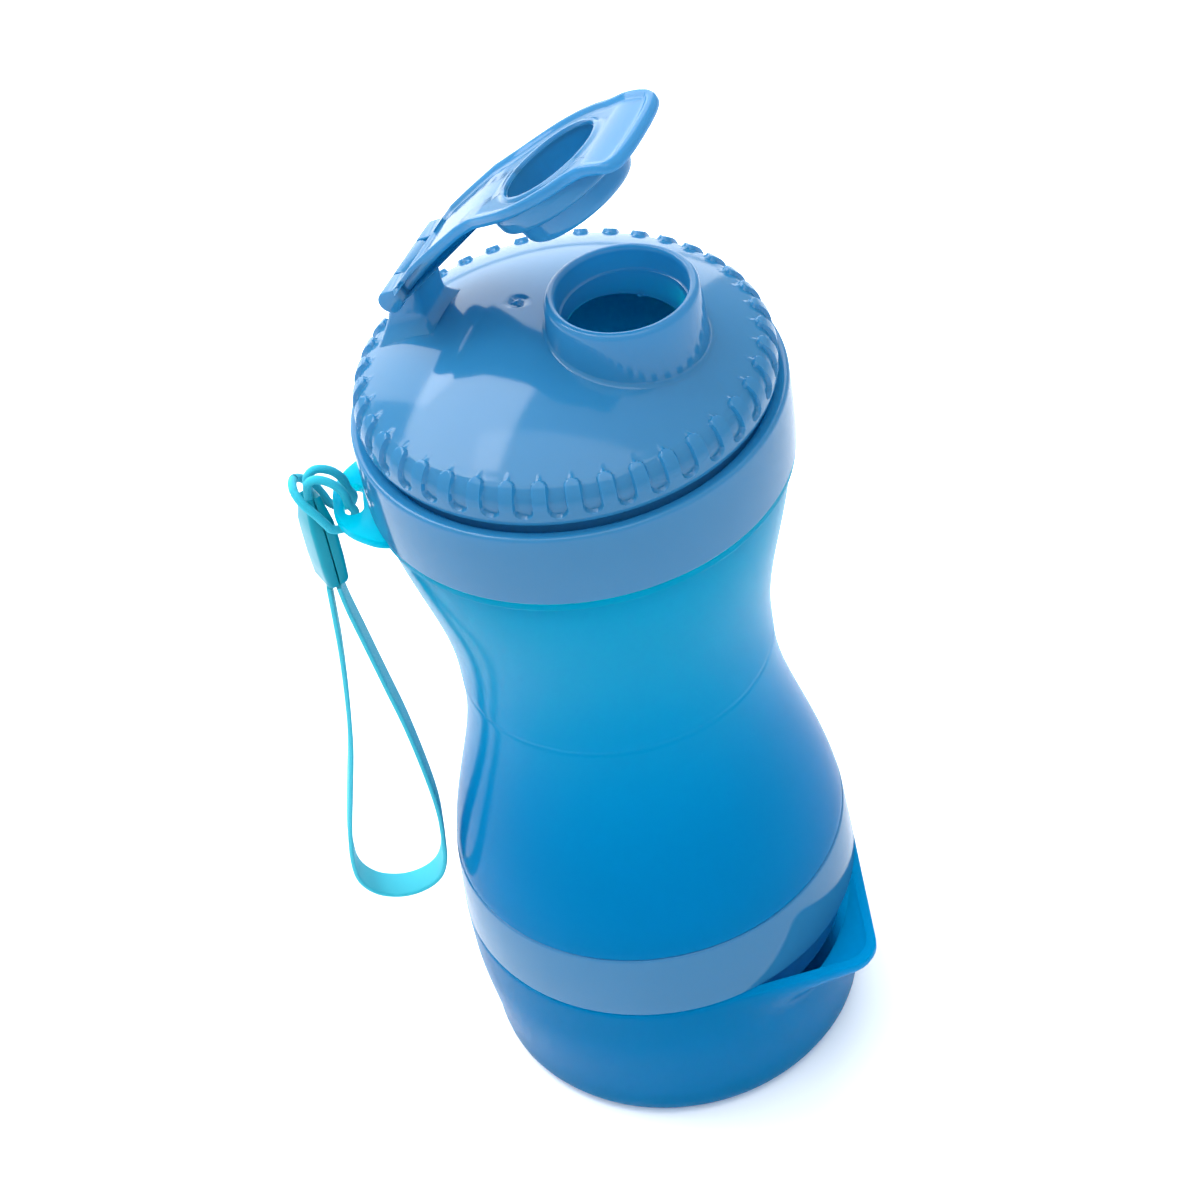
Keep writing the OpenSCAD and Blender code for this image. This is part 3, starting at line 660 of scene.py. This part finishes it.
def along_y(profile, y0, y1, soft=0.4, at=(0.0, 0.0)):
    """A side profile of (x, z) made into a bar from y0 to y1 with softened ends."""
    cx = sum(p[0] for p in profile) / len(profile)
    cz = sum(p[1] for p in profile) / len(profile)
    size = max(math.hypot(x - cx, z - cz) for x, z in profile)
    rings = []
    for y, shrink in ((y0, soft), (y0 + soft * 0.3, soft * 0.3), (y0 + soft, 0), (y1 - soft, 0),
                      (y1 - soft * 0.3, soft * 0.3), (y1, soft)):
        k = 1 - shrink / size
        rings.append([(at[0] + cx + (x - cx) * k, y, at[1] + cz + (z - cz) * k)
                      for x, z in profile])
    return skin(rings)


def circle_xz(r, steps=40):
    return [(r * math.cos(2 * math.pi * k / steps), r * math.sin(2 * math.pi * k / steps))
            for k in range(steps)]


def hinge_block_shape():
    """Stand of the hinge: a rounded post that flares out where it meets the dome."""
    rings = []
    for k in range(15):
        t = k / 14
        flare = 2.2 * (1 - clamp(t / 0.35)) ** 2
        x_in = HINGE_X + 2.6 - 0.5 * t + flare
        x_out = -30.4 + (HINGE_X - KNUCKLE_R + 30.4) * smooth(t) - flare * 0.5
        w = KNUCKLE_HALF - 0.05 + flare
        outline = rounded([(x_out, -w, 1.0), (x_in, -w, 1.0), (x_in, w, 1.0), (x_out, w, 1.0)])
        ring = []
        for x, y in outline:
            base = dome_at(min(math.hypot(x, y), 34)) - 0.25
            ring.append((x, y, base + (HINGE_Z - base) * t))
        rings.append(ring)
    return skin(rings)


make("lid_shell", [lid_shape(), ridge(SKIRT_IN, -1, 152.65, LID_PITCH, 1.5)], CAP_BLUE, "lid",
     ["lid"], 40)
make("lid_spout", [spout_shape()], CAP_BLUE, "lid", (), 50)
make("lid_hinge_stand", [hinge_block_shape(),
                         along_y(circle_xz(KNUCKLE_R), -KNUCKLE_HALF, KNUCKLE_HALF, 0.3,
                                 (HINGE_X, HINGE_Z))],
     CAP_BLUE, "lid", (), 40)

# ---- Flip cap, built closed about its hinge axis and then opened ----

CAP_PLACE = Matrix.Translation((HINGE_X, 0, HINGE_Z)) @ Matrix.Rotation(
    -math.radians(CAP_OPEN), 4, "Y")
# Half of the cap's plan, from the arm's root to the middle of the finger tab
CAP_EDGE = [(2.7, 0), (2.7, 9.1), (3.2, 9.55), (12, 9.6), (20, 9.6), (24.2, 9.75), (28.6, 11.3),
            (33.6, 12.8), (38.2, 13.15), (42.6, 12.5), (46.4, 11.3), (49.6, 10.9), (52.2, 10.9),
            (54.2, 10.5), (55.3, 9.1), (55.8, 7), (56.05, 3.6), (56.1, 0)]
ARM_TOP = [(2.7, 1.7), (7.2, 3.4), (11.7, 4.4), (14.7, 5.0), (17.8, 5.6), (20.8, 6.15), (24, 6.4)]
ARM_LOW = [(2.7, -0.9), (6.2, 0.4), (10.3, 1.8), (15.2, 3.1), (18.1, 3.7), (20.9, 4.2), (24, 4.4)]


def on_line(points, x):
    """Height of a line of points at x."""
    for a, b in zip(points, points[1:]):
        if x <= b[0]:
            return a[1] + (b[1] - a[1]) * clamp((x - a[0]) / (b[0] - a[0]))
    return points[-1][1]


def tab_drop(x):
    """How far the finger tab curls down at x."""
    return TAB_DROP * clamp((x - TAB_X) / TAB_LEN) ** 1.6


def cap_top(x):
    return on_line(ARM_TOP, x) - tab_drop(x)


def cap_low(x):
    return on_line(ARM_LOW, x) - tab_drop(x)


def deck_shape():
    """Arm, deck and finger tab in one, with a raised edge and a hole for the plug's hollow."""
    count = 400
    upper = spline([Vector(p) for p in CAP_EDGE], 6)
    outline = [(p.x, max(p.y, 0.0)) for p in upper]
    outline += [(p.x, -max(p.y, 0.0)) for p in upper[-2:0:-1]]
    edge = [Vector(p) for p in resample(outline, count)]
    inward = []
    for i, p in enumerate(edge):
        t = (edge[(i + 1) % count] - edge[i - 1]).normalized()
        n = Vector((t.y, -t.x))
        inward.append(n if (Vector((30, 0)) - p).dot(n) > 0 else -n)
    hub = Vector((PLUG_X, 0))

    def inset(d):
        return [p + n * d for p, n in zip(edge, inward)]

    def hole(r):
        return [hub + (p - hub).normalized() * r for p in inset(2.6)]

    def over_low(loop, up):
        return [(p.x, p.y, cap_low(p.x) + up) for p in loop]

    def over_top(loop, up):
        return [(p.x, p.y, cap_top(p.x) + up) for p in loop]

    rings = [over_low(hole(HOLE_R + 0.1), 0.2)]
    rings += [over_low(inset(d), up) for d, up in ((2.4, 0), (0.9, 0), (0.3, 0.15), (0.05, 0.55))]
    rings.append([(p.x, p.y, (cap_low(p.x) + cap_top(p.x)) / 2) for p in inset(0.0)])
    rings += [over_top(inset(d), up)
              for d, up in ((0.05, -0.5), (0.3, -0.08), (0.7, 0.05), (1.1, -0.05), (1.5, -0.4),
                            (1.9, -0.68), (2.5, -0.75))]
    start, rim = inset(2.5), hole(HOLE_R + 1.2)
    for k in range(1, 12):
        rings.append(over_top([a.lerp(b, k / 12) for a, b in zip(start, rim)], -0.78))
    rings += [over_top(hole(HOLE_R + grow), up)
              for grow, up in ((1.2, -0.7), (0.9, -0.45), (0.6, -0.3), (0.3, -0.35),
                               (0.08, -0.7))]
    return skin(rings, loop=True)


def plug_shape():
    """Hollow plug with the seat that lands on the spout's rim."""
    step = SPOUT_Z - HINGE_Z + 0.3
    outside = rounded([(12.9, DECK_Z + 0.4, 0), (13.05, 3.6, 0.3), (12.8, step + 0.2, 1.1),
                       (CAP_PLUG_R + 0.1, step, 0.4), (CAP_PLUG_R - 0.3, -3.0, 1.6),
                       (0.02, -3.2, 0)], 6)
    inside = rounded([(0.02, -1.6, 0), (HOLE_R - 0.2, -1.6, 1.2), (HOLE_R, DECK_TOP - 1.0, 0),
                      (HOLE_R + 0.4, DECK_TOP - 0.9, 0), (HOLE_R + 0.4, DECK_Z + 0.4, 0)], 6)
    return lathe(outside + inside, 128, True, (PLUG_X, 0))


def knuckle_bar(y0, y1):
    """Cap knuckle with its web to the arm."""
    web = [(KNUCKLE_R * math.cos(math.radians(a)), KNUCKLE_R * math.sin(math.radians(a)))
           for a in range(70, 291, 10)]
    return along_y(web + [(2.0, -1.15), (4.2, -0.45), (4.2, 2.25), (2.4, 1.75)], y0, y1, 0.35)


cap_parts = [deck_shape(), plug_shape(), knuckle_bar(KNUCKLE_HALF + 0.3, HINGE_HALF),
             knuckle_bar(-HINGE_HALF, -KNUCKLE_HALF - 0.3)]
make("cap_shell", [moved(p, CAP_PLACE) for p in cap_parts], CAP_BLUE, "cap",
     ["flip_cap"], 45)

# ---- Seals and pin keep their CAD shape, with better materials ----

for node, material in (("bowl_gasket", SEAL), ("vessel_gasket", SEAL), ("lid_gasket", SEAL),
                       ("hinge_pin", PIN)):
    for s in bpy.data.objects[node].material_slots:
        s.material = material

# ---- Floor, world and lights ----

floor_mesh = bpy.data.meshes.new("floor")
floor_mesh.from_pydata([(-3, -3, 0), (3, -3, 0), (3, 3, 0), (-3, 3, 0)], [], [(0, 1, 2, 3)])
floor = bpy.data.objects.new("floor", floor_mesh)
scene.collection.objects.link(floor)
floor_mat, _, _, floor_shader = new_material("floor_white")
floor_shader.inputs["Base Color"].default_value = (0.92, 0.93, 0.95, 1)
floor_shader.inputs["Roughness"].default_value = 0.6
floor_mesh.materials.append(floor_mat)

world = bpy.data.worlds.new("studio")
world.use_nodes = True
sky = world.node_tree.nodes["Background"]
sky.inputs["Color"].default_value = (0.85, 0.93, 1.0, 1)
sky_coords = world.node_tree.nodes.new("ShaderNodeTexCoord")
sky_split = world.node_tree.nodes.new("ShaderNodeSeparateXYZ")
world.node_tree.links.new(sky_coords.outputs["Generated"], sky_split.inputs["Vector"])
add_range(world.node_tree.nodes, world.node_tree.links, sky_split.outputs["Z"],
          sky.inputs["Strength"], 1.0, 1.6)
scene.world = world
scene.view_settings.view_transform = "Standard"


def softbox(name, azimuth, elevation, reach, width, height, power):
    """Area light aimed at the bottle; azimuth is measured as the camera's is."""
    data = bpy.data.lights.new(name, "AREA")
    data.shape, data.size, data.size_y, data.energy = "RECTANGLE", width, height, power
    obj = bpy.data.objects.new(name, data)
    a, e = math.radians(azimuth), math.radians(elevation)
    away = Vector((math.sin(a) * math.cos(e), -math.cos(a) * math.cos(e), math.sin(e)))
    obj.location = Vector((0, 0, 0.12)) + away * reach
    obj.rotation_euler = away.to_track_quat("Z", "Y").to_euler()
    scene.collection.objects.link(obj)


softbox("top", CAM_TURN - 25, 72, 1.1, 1.2, 0.7, 5)
softbox("back", CAM_TURN + 187, 24, 1.25, 1.6, 1.2, 17)
softbox("back_left", CAM_TURN + 235, 55, 1.3, 0.8, 0.8, 12)
